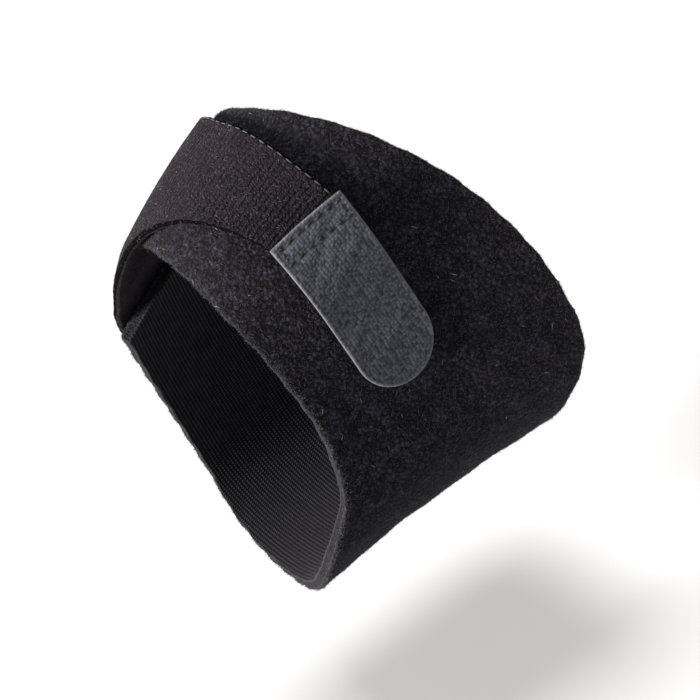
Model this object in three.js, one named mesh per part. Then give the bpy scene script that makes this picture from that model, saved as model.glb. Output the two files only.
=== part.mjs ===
// Arch support sleeve, as worn on a right foot: a foam band wraps the arch, a stretch strap sewn to the
// band's outer end crosses the instep, and a hook tab on the strap's end closes it on the band.
// Millimetres. +X runs to the heel, -Y to the inner side of the foot and +Z up through the instep.
// The origin is the middle of the hollow that the foot fills.
import * as THREE from "three";

// Driving sizes: the hollow for the foot. Its lowest line, the keel, lies a share of FOOT_WIDTH to the outer
// side of its ridge, and FULLNESS is the power of its rounded corners.
const FOOT_WIDTH = 64.3;
const INSTEP_HEIGHT = 81.2;
const FULLNESS = 2.25;
const KEEL_SHARE = 0.078;

// Driving sizes: the foam band
const BAND_WIDTH = 62;
const BAND_THICKNESS = 3;
const BAND_INNER_END_TURN = -25;
const BAND_OUTER_END_TURN = 312;

// Driving sizes: the stretch strap. Its front edge lifts off the band near the top of the instep, and where
// no band lies under it the strap settles towards the foot.
const STRAP_WIDTH = 38;
const STRAP_THICKNESS = 2;
const STRAP_SEAM_LAP = 15;
const STRAP_FRONT_LIFT = 1.2;
const STRAP_LIFT_TURN = 10;
const STRAP_LIFT_REACH_TURN = 18;
const STRAP_SETTLED_SHARE = 0.55;
const STRAP_SETTLE_START = 0.8;
const STRAP_SETTLE_LENGTH = 8;

// Driving sizes: the hook tab
const TAB_WIDTH = 18;
const TAB_LENGTH = 37.8;
const TAB_THICKNESS = 1.4;
const TAB_START_TURN = 41.5;
const TAB_START_SLANT_TURN = 2.5;
const TAB_SEAM_LAP = 9;
const TAB_STEP_LENGTH = 14;

// Layers that lie on each other keep this gap
const LAYER_GAP = 0.3;

// Turns round the foot are in degrees: 0 at the top of the instep, 90 at the inner side, 180 at the sole and
// 270 at the outer side
const FULL_TURN = 360;

// Grid steps of each piece, across its width and along its length
const BAND_STEPS = { across: 12, along: 96 };
const STRAP_STEPS = { across: 12, along: 56 };
const TAB_STEPS = { across: 12, along: 22 };

// Three sections of the hollow. "along" is a share of BAND_WIDTH, "inner" and "outer" are the half widths as
// shares of FOOT_WIDTH, and the rest are heights as shares of INSTEP_HEIGHT: where the inner and the outer
// side are widest, the top and the bottom.
const FOOT_SECTIONS = [
  { along: -0.7, inner: 0.494, outer: 0.505, innerZ: -0.238, outerZ: -0.350, top: 0.147, bottom: -0.537 },
  { along: 0.0, inner: 0.486, outer: 0.499, innerZ: -0.217, outerZ: -0.310, top: 0.500, bottom: -0.500 },
  { along: 0.7, inner: 0.562, outer: 0.492, innerZ: -0.195, outerZ: -0.290, top: 0.622, bottom: -0.537 },
];

// The band's two edges round the foot, as shares of BAND_WIDTH
const BAND_EDGES = [
  { turn: -25, front: -0.240, back: 0.190 },
  { turn: 0, front: -0.247, back: 0.248 },
  { turn: 20, front: -0.248, back: 0.347 },
  { turn: 40, front: -0.244, back: 0.486 },
  { turn: 60, front: -0.228, back: 0.622 },
  { turn: 80, front: -0.226, back: 0.700 },
  { turn: 95, front: -0.290, back: 0.690 },
  { turn: 110, front: -0.385, back: 0.635 },
  { turn: 125, front: -0.445, back: 0.562 },
  { turn: 150, front: -0.470, back: 0.500 },
  { turn: 180, front: -0.465, back: 0.484 },
  { turn: 225, front: -0.440, back: 0.430 },
  { turn: 265, front: -0.410, back: 0.310 },
  { turn: 312, front: -0.425, back: 0.220 },
];

// The strap's two edges, as shares of STRAP_WIDTH, from its sewn end to the end under the tab
const STRAP_EDGES = [
  { turn: -70, front: -0.658, back: 0.342 },
  { turn: -48, front: -0.658, back: 0.329 },
  { turn: -30, front: -0.618, back: 0.303 },
  { turn: -15, front: -0.530, back: 0.282 },
  { turn: 0, front: -0.330, back: 0.289 },
  { turn: 10, front: -0.230, back: 0.321 },
  { turn: 20, front: -0.145, back: 0.350 },
  { turn: 30, front: -0.075, back: 0.382 },
  { turn: 42, front: -0.005, back: 0.428 },
  { turn: 55, front: 0.013, back: 0.455 },
];

// A curve through a table's rows that gives its front and back edge at a turn
function edgeCurve(rows, width) {
  const turns = rows.map((row) => row.turn);
  const edges = rows.flatMap((row) => [row.front * width, row.back * width]);
  const curve = new THREE.CubicInterpolant(turns, edges, 2);
  return (turn) => {
    const [front, back] = curve.evaluate(turn);
    return { front, back };
  };
}

const bandEdges = edgeCurve(BAND_EDGES, BAND_WIDTH);
const strapEdges = edgeCurve(STRAP_EDGES, STRAP_WIDTH);

// One column of the sections at a place along the foot, on the parabola through its three rows
function sectionValue(column, along) {
  return FOOT_SECTIONS.reduce((sum, row) => {
    const others = FOOT_SECTIONS.filter((other) => other !== row);
    const weight = others.reduce((product, other) => {
      return product * (along / BAND_WIDTH - other.along) / (row.along - other.along);
    }, 1);
    return sum + weight * row[column];
  }, 0);
}

// A point of the hollow's surface. Each quarter of a section is a quarter of a superellipse.
function footPoint(along, turn) {
  const quarter = Math.floor(turn / 90);
  const angle = THREE.MathUtils.degToRad(turn - quarter * 90);
  const leaving = Math.pow(Math.abs(Math.cos(angle)), 2 / FULLNESS);
  const arriving = Math.pow(Math.abs(Math.sin(angle)), 2 / FULLNESS);
  const value = (column) => sectionValue(column, along);
  const ridge = { y: 0, z: value("top") * INSTEP_HEIGHT };
  const innerSide = { y: -value("inner") * FOOT_WIDTH, z: value("innerZ") * INSTEP_HEIGHT };
  const keel = { y: KEEL_SHARE * FOOT_WIDTH, z: value("bottom") * INSTEP_HEIGHT };
  const outerSide = { y: value("outer") * FOOT_WIDTH, z: value("outerZ") * INSTEP_HEIGHT };
  const stations = [ridge, innerSide, keel, outerSide, ridge];
  const index = THREE.MathUtils.euclideanModulo(quarter, 4);
  const from = stations[index];
  const to = stations[index + 1];
  // The ridge and the keel stand over the quarter's centre, and the sides stand beside it
  const startsUpright = index % 2 === 0;
  const centre = startsUpright ? { y: from.y, z: to.z } : { y: to.y, z: from.z };
  const y = centre.y + (from.y - centre.y) * leaving + (to.y - centre.y) * arriving;
  const z = centre.z + (from.z - centre.z) * leaving + (to.z - centre.z) * arriving;
  return new THREE.Vector3(along, y, z);
}

// A point at a height above the hollow's surface
function liftedPoint(along, turn, height) {
  const reach = 0.5;
  const lengthwise = footPoint(along + reach, turn).sub(footPoint(along - reach, turn));
  const round = footPoint(along, turn + reach).sub(footPoint(along, turn - reach));
  const outward = round.cross(lengthwise).normalize();
  return footPoint(along, turn).addScaledVector(outward, height);
}

// The turn that lies a length further round the surface, or back from it where the length is negative
function turnAfter(along, turn, length) {
  const step = 0.1 * Math.sign(length);
  let here = turn;
  let walked = 0;
  let last = footPoint(along, here);
  while (walked < Math.abs(length)) {
    here += step;
    const next = footPoint(along, here);
    walked += next.distanceTo(last);
    last = next;
  }
  return here;
}

// A closed sheet over the hollow. place(u, v) gives its point's place along and round the foot, and the two
// heights give its faces: u runs from the front edge to the back edge and v from its start to its end.
function wrappedSheet(steps, place, innerHeight, outerHeight) {
  const columns = Math.round(steps.across);
  const rows = Math.round(steps.along);
  const points = [];
  for (const height of [innerHeight, outerHeight]) {
    for (let j = 0; j <= rows; j += 1) {
      for (let i = 0; i <= columns; i += 1) {
        const spot = place(i / columns, j / rows);
        points.push(liftedPoint(spot.along, spot.turn, height(spot, i / columns)));
      }
    }
  }
  const at = (face, i, j) => (face * (rows + 1) + j) * (columns + 1) + i;
  const indices = [];
  const quad = (a, b, c, d) => indices.push(a, b, c, a, c, d);
  for (let j = 0; j < rows; j += 1) {
    for (let i = 0; i < columns; i += 1) {
      quad(at(0, i, j), at(0, i + 1, j), at(0, i + 1, j + 1), at(0, i, j + 1));
      quad(at(1, i, j), at(1, i, j + 1), at(1, i + 1, j + 1), at(1, i + 1, j));
    }
    quad(at(0, 0, j), at(0, 0, j + 1), at(1, 0, j + 1), at(1, 0, j));
    quad(at(0, columns, j), at(1, columns, j), at(1, columns, j + 1), at(0, columns, j + 1));
  }
  for (let i = 0; i < columns; i += 1) {
    quad(at(0, i, 0), at(1, i, 0), at(1, i + 1, 0), at(0, i + 1, 0));
    quad(at(0, i, rows), at(0, i + 1, rows), at(1, i + 1, rows), at(1, i, rows));
  }
  const geometry = new THREE.BufferGeometry().setFromPoints(points);
  geometry.setIndex(indices);
  geometry.computeVertexNormals();
  return geometry;
}

// The foam band: wide under the arch, and narrower to each of its ends over the instep
function bandGeometry() {
  const place = (u, v) => {
    const turn = THREE.MathUtils.lerp(BAND_INNER_END_TURN, BAND_OUTER_END_TURN, v);
    const edges = bandEdges(turn);
    return { along: THREE.MathUtils.lerp(edges.front, edges.back, u), turn };
  };
  return wrappedSheet(BAND_STEPS, place, () => 0, () => BAND_THICKNESS);
}

const bandTop = BAND_THICKNESS + LAYER_GAP;
const strapMiddle = (turn) => (strapEdges(turn).front + strapEdges(turn).back) / 2;
const tabMiddle = strapMiddle(TAB_START_TURN + TAB_SEAM_LAP);
const strapEndTurn = turnAfter(tabMiddle, TAB_START_TURN, TAB_SEAM_LAP);
const bandOuterEndTurn = BAND_OUTER_END_TURN - FULL_TURN;
const strapStartTurn = turnAfter(0, bandOuterEndTurn, -STRAP_SEAM_LAP);

// How far the strap's front edge stands off the band, most near the top of the instep
function strapLift(spot, u) {
  const away = (spot.turn - STRAP_LIFT_TURN) / STRAP_LIFT_REACH_TURN;
  return STRAP_FRONT_LIFT * Math.exp(-(away ** 2)) * (1 - u) ** 3;
}

// 1 on the band and falling to 0 with the length past its edge
function fade(lengthPast) {
  const start = STRAP_SETTLE_START;
  return 1 - THREE.MathUtils.smoothstep(lengthPast, start, start + STRAP_SETTLE_LENGTH);
}

// 1 where the band lies under the strap and 0 away from it, seen from either of the band's two ends
function bandCover(spot) {
  const degree = footPoint(spot.along, spot.turn).distanceTo(footPoint(spot.along, spot.turn + 1));
  const onInnerEnd = bandEdges(Math.max(spot.turn, BAND_INNER_END_TURN));
  const onOuterEnd = bandEdges(Math.min(spot.turn + FULL_TURN, BAND_OUTER_END_TURN));
  const pastInnerEnd = (BAND_INNER_END_TURN - spot.turn) * degree;
  const pastOuterEnd = (spot.turn - bandOuterEndTurn) * degree;
  const byInnerEnd = fade(onInnerEnd.front - spot.along) * fade(pastInnerEnd);
  const byOuterEnd = fade(onOuterEnd.front - spot.along) * fade(pastOuterEnd);
  return Math.max(byInnerEnd, byOuterEnd);
}

// The stretch strap: sewn on the band's outer end, it crosses the instep over the band's inner end
function strapGeometry() {
  const place = (u, v) => {
    const turn = THREE.MathUtils.lerp(strapStartTurn, strapEndTurn, v);
    const edges = strapEdges(turn);
    return { along: THREE.MathUtils.lerp(edges.front, edges.back, u), turn };
  };
  const innerHeight = (spot, u) => {
    const carried = THREE.MathUtils.lerp(STRAP_SETTLED_SHARE, 1, bandCover(spot));
    return LAYER_GAP + BAND_THICKNESS * carried + strapLift(spot, u);
  };
  const outerHeight = (spot, u) => innerHeight(spot, u) + STRAP_THICKNESS;
  return wrappedSheet(STRAP_STEPS, place, innerHeight, outerHeight);
}

// The hook tab: sewn over the strap's end, it steps down to the band behind it and ends in a half round
function tabGeometry() {
  const radius = TAB_WIDTH / 2;
  const straightEndTurn = turnAfter(tabMiddle, TAB_START_TURN, TAB_LENGTH - radius);
  const roundEndTurn = turnAfter(tabMiddle, TAB_START_TURN, TAB_LENGTH);
  const stepStartTurn = turnAfter(tabMiddle, strapEndTurn, LAYER_GAP);
  const stepEndTurn = turnAfter(tabMiddle, stepStartTurn, TAB_STEP_LENGTH);
  const place = (u, v) => {
    const side = -Math.cos(Math.PI * u);
    const startTurn = TAB_START_TURN + side * TAB_START_SLANT_TURN / 2;
    const endTurn = THREE.MathUtils.lerp(straightEndTurn, roundEndTurn, Math.sin(Math.PI * u));
    return { along: tabMiddle + side * radius, turn: THREE.MathUtils.lerp(startTurn, endTurn, v) };
  };
  const innerHeight = (spot) => {
    const onStrap = 1 - THREE.MathUtils.smoothstep(spot.turn, stepStartTurn, stepEndTurn);
    return bandTop + (STRAP_THICKNESS + LAYER_GAP + strapLift(spot, 0)) * onStrap;
  };
  const outerHeight = (spot) => innerHeight(spot) + TAB_THICKNESS;
  return wrappedSheet(TAB_STEPS, place, innerHeight, outerHeight);
}

function piece(name, geometry, finish) {
  const mesh = new THREE.Mesh(geometry, new THREE.MeshStandardMaterial(finish));
  mesh.name = name;
  return mesh;
}

const group = new THREE.Group();
group.add(piece("wrap_band", bandGeometry(), { color: 0x16151a, roughness: 0.95, metalness: 0 }));
group.add(piece("instep_strap", strapGeometry(), { color: 0x322d33, roughness: 0.85, metalness: 0 }));
group.add(piece("hook_tab", tabGeometry(), { color: 0x3d3f45, roughness: 0.7, metalness: 0 }));

export default group;
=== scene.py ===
# %% [markdown]
# # An arch support sleeve, as it is worn
# The sleeve is a band of foam with a brushed loop face that wraps the arch of a right foot. A stretch strap
# is sewn to the band's outer end, crosses the instep, and closes on the band's inner side with a tab of hook
# tape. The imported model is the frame: it says where each piece lies and how thick it is. This lesson gives
# each piece its cloth, its cut edges, its nap and its stitches, and it never moves or resizes the model.

# %% Load the frame
import math
from collections import namedtuple

import bpy
import numpy as np
from mathutils import Matrix, Vector


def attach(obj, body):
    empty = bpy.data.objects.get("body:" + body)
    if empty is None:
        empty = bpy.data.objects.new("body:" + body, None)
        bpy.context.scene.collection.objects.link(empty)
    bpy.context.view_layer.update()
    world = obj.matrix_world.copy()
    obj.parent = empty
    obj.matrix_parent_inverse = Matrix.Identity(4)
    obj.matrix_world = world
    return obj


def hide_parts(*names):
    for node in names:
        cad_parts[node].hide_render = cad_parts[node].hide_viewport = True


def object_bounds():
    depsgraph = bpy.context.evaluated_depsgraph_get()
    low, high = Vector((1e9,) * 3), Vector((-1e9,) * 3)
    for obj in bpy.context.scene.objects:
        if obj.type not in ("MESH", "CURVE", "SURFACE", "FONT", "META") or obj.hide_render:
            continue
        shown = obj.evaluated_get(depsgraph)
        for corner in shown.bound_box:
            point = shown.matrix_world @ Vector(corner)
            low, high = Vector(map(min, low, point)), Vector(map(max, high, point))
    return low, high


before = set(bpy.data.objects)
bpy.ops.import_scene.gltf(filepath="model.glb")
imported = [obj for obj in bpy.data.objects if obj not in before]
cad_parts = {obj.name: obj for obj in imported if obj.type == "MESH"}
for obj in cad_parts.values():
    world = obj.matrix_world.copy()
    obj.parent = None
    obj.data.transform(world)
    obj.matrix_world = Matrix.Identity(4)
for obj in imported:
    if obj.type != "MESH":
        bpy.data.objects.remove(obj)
cad_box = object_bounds()

# %% [markdown]
# ## Camera
# A photograph of a small thing on a foot is taken from far away with a long lens, so its lines hardly run
# together. Here a camera on a turn, a rise and a roll about the sleeve takes the photograph's angle to the
# foot, which points down to the left while the model stands level. The lens only decides how large it shows.

# %% Camera
MM = 0.001
CAMERA_TURN = -12.07
CAMERA_RISE = 26.39
CAMERA_ROLL = -31.77
CAMERA_DISTANCE = 1300 * MM
CAMERA_AIM = Vector((6.4, -4.1, -8.1)) * MM
LENS = 323.5
SENSOR = 36.0
VIEW_REACH = 20.0

def camera_axes(turn, rise, roll):
    """A camera's right, up and back directions. Turn 0 looks along +Y, and angles are in degrees."""
    turn, rise = math.radians(turn), math.radians(rise)
    back = Vector((math.sin(turn) * math.cos(rise), -math.cos(turn) * math.cos(rise), math.sin(rise)))
    level = Vector((math.cos(turn), math.sin(turn), 0))
    rolled = Matrix.Rotation(math.radians(roll), 3, back) @ level
    return rolled, back.cross(rolled), back

camera_right, camera_up, camera_back = camera_axes(CAMERA_TURN, CAMERA_RISE, CAMERA_ROLL)
camera_data = bpy.data.cameras.new("photo_camera")
camera_data.lens = LENS
camera_data.sensor_width = SENSOR
camera_data.clip_end = VIEW_REACH
camera = bpy.data.objects.new("photo_camera", camera_data)
bpy.context.collection.objects.link(camera)
camera.matrix_world = Matrix.Translation(CAMERA_AIM + camera_back * CAMERA_DISTANCE) @ Matrix(
    (camera_right, camera_up, camera_back)).transposed().to_4x4()
bpy.context.scene.camera = camera
print("camera looks at", [round(value, 4) for value in CAMERA_AIM], "from", CAMERA_DISTANCE, "m")

# %% [markdown]
# ## Light
# Dark cloth shows its nap only where light grazes it. A broad key from the toe side does that: the strap and
# the instep face it and the inner side falls into shade. A wide light overhead lays a soft shadow under the
# sleeve. Both could be softboxes, but those leave the floor grey a metre away, so each is a sun that is as
# wide in the sky as a softbox would be. The world is a dim, cool tent that only the camera sees as white.

# %% Lights
scene = bpy.context.scene
scene.view_settings.view_transform = "Standard"
KEY_FROM = (-0.95, 0.09, 0.25)
KEY_STRENGTH = 12.0
KEY_WIDTH = 24.0
OVERHEAD_FROM = (0.26, 0.30, 1.15)
OVERHEAD_STRENGTH = 3.1
OVERHEAD_WIDTH = 32.0
TENT_BRIGHTNESS = 0.21

def hex_colour(code):
    """An sRGB hex colour as the linear colour that shaders need."""
    shares = [int(code[i:i + 2], 16) / 255 for i in (1, 3, 5)]
    return tuple(s / 12.92 if s <= 0.04045 else ((s + 0.055) / 1.055) ** 2.4 for s in shares) + (1.0,)

def wide_sun(name, comes_from, strength, width, tint):
    """A light so far off that it is even everywhere. The wider it is, in degrees, the softer its shadows."""
    light = bpy.data.lights.new(name, "SUN")
    light.energy = strength
    light.angle = math.radians(width)
    light.color = hex_colour(tint)[:3]
    lamp = bpy.data.objects.new(name, light)
    bpy.context.collection.objects.link(lamp)
    lamp.matrix_world = Vector(comes_from).to_track_quat("Z", "Y").to_matrix().to_4x4()
    return lamp

wide_sun("key_light", KEY_FROM, KEY_STRENGTH, KEY_WIDTH, "#fff8f3")
wide_sun("overhead_light", OVERHEAD_FROM, OVERHEAD_STRENGTH, OVERHEAD_WIDTH, "#ffffff")
world = bpy.data.worlds.new("white_tent")
scene.world = world
world.use_nodes = True
print("lights", [lamp.name for lamp in scene.objects if lamp.type == "LIGHT"])

# %% [markdown]
# ## Nodes and floor
# Every material below is a small network. One helper adds a node, sets its options and fills or links its
# sockets, so that a network reads like a list of what it holds. Some sockets share a name and go by number:
# a Math node has 0, 1 and 2, and a mix of two colours has its share at 0 and its colours at 6 and 7. The
# tent and the floor are the first to use the helper. The floor is sealed paperboard, so wide that its edge
# never shows, and the sleeve hangs clear of it.

# %% A helper for nodes, the tent and the floor
FLOOR_DROP = 34 * MM
FLOOR_SIZE = 60.0
PULP_CLOUD_SIZE = 90.0

def add_node(tree, kind, sockets=None, **options):
    """Adds a node. A socket takes a plain value, another node's output, or a node, for its first output."""
    made = tree.nodes.new(kind)
    for option, value in options.items():
        setattr(made, option, value)
    for socket, value in (sockets or {}).items():
        if isinstance(value, bpy.types.Node):
            value = value.outputs[0]
        if isinstance(value, bpy.types.NodeSocket):
            tree.links.new(value, made.inputs[socket])
        else:
            made.inputs[socket].default_value = value
    return made

def new_material(name):
    """An empty material with its output node, and its tree."""
    material = bpy.data.materials.new(name)
    material.use_nodes = True
    material.node_tree.nodes.clear()
    output = add_node(material.node_tree, "ShaderNodeOutputMaterial")
    return material, material.node_tree, output

def per_mm(size):
    """The scale of a texture on object coordinates, in metres, whose features are this many millimetres."""
    return 1 / (size * MM)

def waves_per_mm(size):
    """The scale of a wave texture on a UV map in millimetres. A scale of 1 would repeat after pi / 10."""
    return math.pi / 10 / size

def paperboard():
    """Sealed pale board: quite matt, with a faint cloudiness of its pulp. In this light it shows white."""
    material, tree, output = new_material("sealed_paperboard")
    place = add_node(tree, "ShaderNodeTexCoord").outputs["Object"]
    pulp = add_node(tree, "ShaderNodeTexNoise", {"Vector": place, "Scale": per_mm(PULP_CLOUD_SIZE),
                                                 "Detail": 2.0})
    colour = add_node(tree, "ShaderNodeMix", {0: pulp, 6: hex_colour("#bfbfbf"), 7: hex_colour("#c3c3c2")},
                      data_type="RGBA")
    skin = add_node(tree, "ShaderNodeBsdfPrincipled", {"Base Color": colour.outputs[2], "Roughness": 0.85,
                                                       "Specular IOR Level": 0.2})
    tree.links.new(skin.outputs[0], output.inputs["Surface"])
    return material

def tent(tree):
    """The world's network: a dim cool tent for all that it lights, and plain white for the camera."""
    tree.nodes.clear()
    lit = add_node(tree, "ShaderNodeBackground", {"Color": hex_colour("#e2edff"),
                                                  "Strength": TENT_BRIGHTNESS})
    seen = add_node(tree, "ShaderNodeBackground", {"Color": hex_colour("#ffffff"), "Strength": 1.0})
    from_camera = add_node(tree, "ShaderNodeLightPath").outputs["Is Camera Ray"]
    either = add_node(tree, "ShaderNodeMixShader", {0: from_camera, 1: lit, 2: seen})
    add_node(tree, "ShaderNodeOutputWorld", {"Surface": either})

tent(world.node_tree)
half = FLOOR_SIZE / 2
floor_height = cad_box[0][2] - FLOOR_DROP
floor_mesh = bpy.data.meshes.new("floor")
floor_mesh.from_pydata([(-half, -half, floor_height), (half, -half, floor_height),
                        (half, half, floor_height), (-half, half, floor_height)], [], [(0, 1, 2, 3)])
floor = bpy.data.objects.new("floor", floor_mesh)
bpy.context.collection.objects.link(floor)
floor_mesh.materials.append(paperboard())
print("floor at", round(floor_height, 4), "m")

# %% [markdown]
# ## The form that the cloth takes
# Every piece lies on the same foot, so one surface carries them all: three sections of the hollow, rounded
# like a superellipse, and a height above it. These are the model's own sizes and tables, in millimetres.
# A sculpted mesh could follow the model too, but a formula gives each layer its exact place at any fineness.

# %% Driving sizes
FOOT_WIDTH = 64.3
INSTEP_HEIGHT = 81.2
FULLNESS = 2.25
KEEL_SHARE = 0.078
BAND_WIDTH = 62.0
BAND_THICKNESS = 3.0
BAND_INNER_END_TURN = -25.0
BAND_OUTER_END_TURN = 312.0
STRAP_WIDTH = 38.0
STRAP_THICKNESS = 2.0
STRAP_SEAM_LAP = 15.0
STRAP_FRONT_LIFT = 1.2
STRAP_LIFT_TURN = 10.0
STRAP_LIFT_REACH_TURN = 18.0
STRAP_SETTLED_SHARE = 0.55
STRAP_SETTLE_START = 0.8
STRAP_SETTLE_LENGTH = 8.0
TAB_WIDTH = 18.0
TAB_LENGTH = 37.8
TAB_THICKNESS = 1.4
TAB_START_TURN = 41.5
TAB_START_SLANT_TURN = 2.5
TAB_SEAM_LAP = 9.0
TAB_STEP_LENGTH = 14.0
LAYER_GAP = 0.3
FULL_TURN = 360.0

# Three sections of the hollow: "along" is a share of BAND_WIDTH, "inner" and "outer" are half widths as
# shares of FOOT_WIDTH, and the rest are heights as shares of INSTEP_HEIGHT
FOOT_SECTIONS = (
    {"along": -0.7, "inner": 0.494, "outer": 0.505, "inner_z": -0.238, "outer_z": -0.350, "top": 0.147,
     "bottom": -0.537},
    {"along": 0.0, "inner": 0.486, "outer": 0.499, "inner_z": -0.217, "outer_z": -0.310, "top": 0.500,
     "bottom": -0.500},
    {"along": 0.7, "inner": 0.562, "outer": 0.492, "inner_z": -0.195, "outer_z": -0.290, "top": 0.622,
     "bottom": -0.537},
)
# The two edges of the band, as shares of BAND_WIDTH. Turns are in degrees: 0 at the top of the instep, 90 at
# the inner side, 180 at the sole and 270 at the outer side.
BAND_EDGES = (
    {"turn": -25, "front": -0.240, "back": 0.190},
    {"turn": 0, "front": -0.247, "back": 0.248},
    {"turn": 20, "front": -0.248, "back": 0.347},
    {"turn": 40, "front": -0.244, "back": 0.486},
    {"turn": 60, "front": -0.228, "back": 0.622},
    {"turn": 80, "front": -0.226, "back": 0.700},
    {"turn": 95, "front": -0.290, "back": 0.690},
    {"turn": 110, "front": -0.385, "back": 0.635},
    {"turn": 125, "front": -0.445, "back": 0.562},
    {"turn": 150, "front": -0.470, "back": 0.500},
    {"turn": 180, "front": -0.465, "back": 0.484},
    {"turn": 225, "front": -0.440, "back": 0.430},
    {"turn": 265, "front": -0.410, "back": 0.310},
    {"turn": 312, "front": -0.425, "back": 0.220},
)
# The two edges of the strap, as shares of STRAP_WIDTH, from its sewn end to the end under the tab
STRAP_EDGES = (
    {"turn": -70, "front": -0.658, "back": 0.342},
    {"turn": -48, "front": -0.658, "back": 0.329},
    {"turn": -30, "front": -0.618, "back": 0.303},
    {"turn": -15, "front": -0.530, "back": 0.282},
    {"turn": 0, "front": -0.330, "back": 0.289},
    {"turn": 10, "front": -0.230, "back": 0.321},
    {"turn": 20, "front": -0.145, "back": 0.350},
    {"turn": 30, "front": -0.075, "back": 0.382},
    {"turn": 42, "front": -0.005, "back": 0.428},
    {"turn": 55, "front": 0.013, "back": 0.455},
)

# %% The surface of the hollow
NORMAL_REACH = 0.5
WALK_STEP = 0.1
WALK_STEPS = 2000

def table_column(rows, column):
    """One named column of a table."""
    return np.array([row[column] for row in rows], float)

def edge_at(rows, column, turn):
    """A curve through a table's rows. Its slope at a row is the mean of the slopes on both sides of it."""
    at, value = table_column(rows, "turn"), table_column(rows, column)
    slopes = np.diff(value) / np.diff(at)
    slope = np.concatenate([slopes[:1], (slopes[1:] + slopes[:-1]) / 2, slopes[-1:]])
    turn = np.clip(turn, at[0], at[-1])
    row = np.clip(np.searchsorted(at, turn, side="right") - 1, 0, len(at) - 2)
    width = at[row + 1] - at[row]
    t = (turn - at[row]) / width
    ends = value[row] * (1 + 2 * t) * (1 - t) ** 2 + value[row + 1] * t ** 2 * (3 - 2 * t)
    return ends + width * (slope[row] * t * (1 - t) ** 2 - slope[row + 1] * t ** 2 * (1 - t))

def section_at(column, along):
    """One column of the sections at a place along the foot, on the parabola through its three rows."""
    parabola = np.polyfit(table_column(FOOT_SECTIONS, "along"), table_column(FOOT_SECTIONS, column), 2)
    return np.polyval(parabola, along / BAND_WIDTH)

def foot_point(along, turn):
    """Points of the hollow. Each quarter of a section is a quarter of a superellipse."""
    along, turn = np.broadcast_arrays(np.asarray(along, float), np.asarray(turn, float))
    quarter = np.floor(turn / 90)
    angle = np.radians(turn - quarter * 90)
    leaving = np.abs(np.cos(angle)) ** (2 / FULLNESS)
    arriving = np.abs(np.sin(angle)) ** (2 / FULLNESS)
    ridge = (0 * along, section_at("top", along) * INSTEP_HEIGHT)
    inner = (-section_at("inner", along) * FOOT_WIDTH, section_at("inner_z", along) * INSTEP_HEIGHT)
    keel = (0 * along + KEEL_SHARE * FOOT_WIDTH, section_at("bottom", along) * INSTEP_HEIGHT)
    outer = (section_at("outer", along) * FOOT_WIDTH, section_at("outer_z", along) * INSTEP_HEIGHT)
    stations = (ridge, inner, keel, outer, ridge)
    side, height = 0 * along, 0 * along
    for index in range(4):
        (side_from, height_from), (side_to, height_to) = stations[index], stations[index + 1]
        # The ridge and the keel stand over the quarter's centre, and the sides stand beside it
        mid_side, mid_height = (side_from, height_to) if index % 2 == 0 else (side_to, height_from)
        here = quarter % 4 == index
        across = mid_side + (side_from - mid_side) * leaving + (side_to - mid_side) * arriving
        upward = mid_height + (height_from - mid_height) * leaving + (height_to - mid_height) * arriving
        side = np.where(here, across, side)
        height = np.where(here, upward, height)
    return np.stack([along, side, height], -1)

def lifted_point(along, turn, height):
    """Points at a height above the hollow."""
    lengthwise = foot_point(along + NORMAL_REACH, turn) - foot_point(along - NORMAL_REACH, turn)
    round_it = foot_point(along, turn + NORMAL_REACH) - foot_point(along, turn - NORMAL_REACH)
    outward = np.cross(round_it, lengthwise)
    outward /= np.linalg.norm(outward, axis=-1, keepdims=True)
    return foot_point(along, turn) + outward * np.asarray(height)[..., None]

def turn_after(along, turn, length):
    """The turn a length further round the surface, or further back where the length is negative."""
    turns = turn + math.copysign(WALK_STEP, length) * np.arange(WALK_STEPS)
    walk = np.linalg.norm(np.diff(foot_point(along, turns), axis=0), axis=1)
    return turns[np.searchsorted(np.append(0, np.cumsum(walk)), abs(length))]

girth_turns = np.arange(0, FULL_TURN + 1)
girth = np.linalg.norm(np.diff(foot_point(0.0, girth_turns), axis=0), axis=1).sum()
print("the hollow's girth at its middle is", round(girth, 1), "mm")

# %% [markdown]
# ## How a sheet of cloth is made
# A cloth is a thin slab: an outer face, an inner face and a cut edge between them. Bending a flat grid and
# adding Solidify would do, but its edge would be one flat strip. So each sheet is a grid in real
# millimetres, "x" across and "y" along, with rows set close together at the rim. There the face rounds over
# to the cut edge, which sinks in a little between the faces. The same x and y become the UV map that
# patterns follow. "edge_mm" says how far a point is from the edge, and "edge_depth" runs from 0 on the outer
# face to 1 on the inner one. The middle of the thickness gives the size that the cloth was cut to.

# %% Grids for sheets
RIM = np.array([0.0, 0.05, 0.14, 0.28, 0.48, 0.75])
LENGTH_STEPS = 1500
SheetGrid = namedtuple("SheetGrid", "x y share along turn from_side from_edge")

def grid_shares(length, pitch):
    """Grid lines at offset + share * length: close together in the rim, and a pitch apart between."""
    share = np.linspace(0, 1, max(2, round((length - 2 * RIM[-1]) / pitch)) + 1)
    offset = np.concatenate([RIM[:-1], RIM[-1] * (1 - 2 * share), -RIM[-2::-1]])
    return offset, np.concatenate([np.zeros(len(RIM) - 1), share, np.ones(len(RIM) - 1)])

def length_table(along_at, start_turn, end_turn):
    """Turns from start to end, and the length walked to each of them on a line over the surface."""
    turns = np.linspace(start_turn, end_turn, LENGTH_STEPS)
    walk = np.linalg.norm(np.diff(foot_point(along_at(turns), turns), axis=0), axis=1)
    return turns, np.append(0, np.cumsum(walk))

def strip_lengths(edge_of, turn_range):
    """A length table down the middle of a strip, between its front and its back edge."""
    return length_table(lambda turn: (edge_of("front", turn) + edge_of("back", turn)) / 2, *turn_range)

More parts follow.
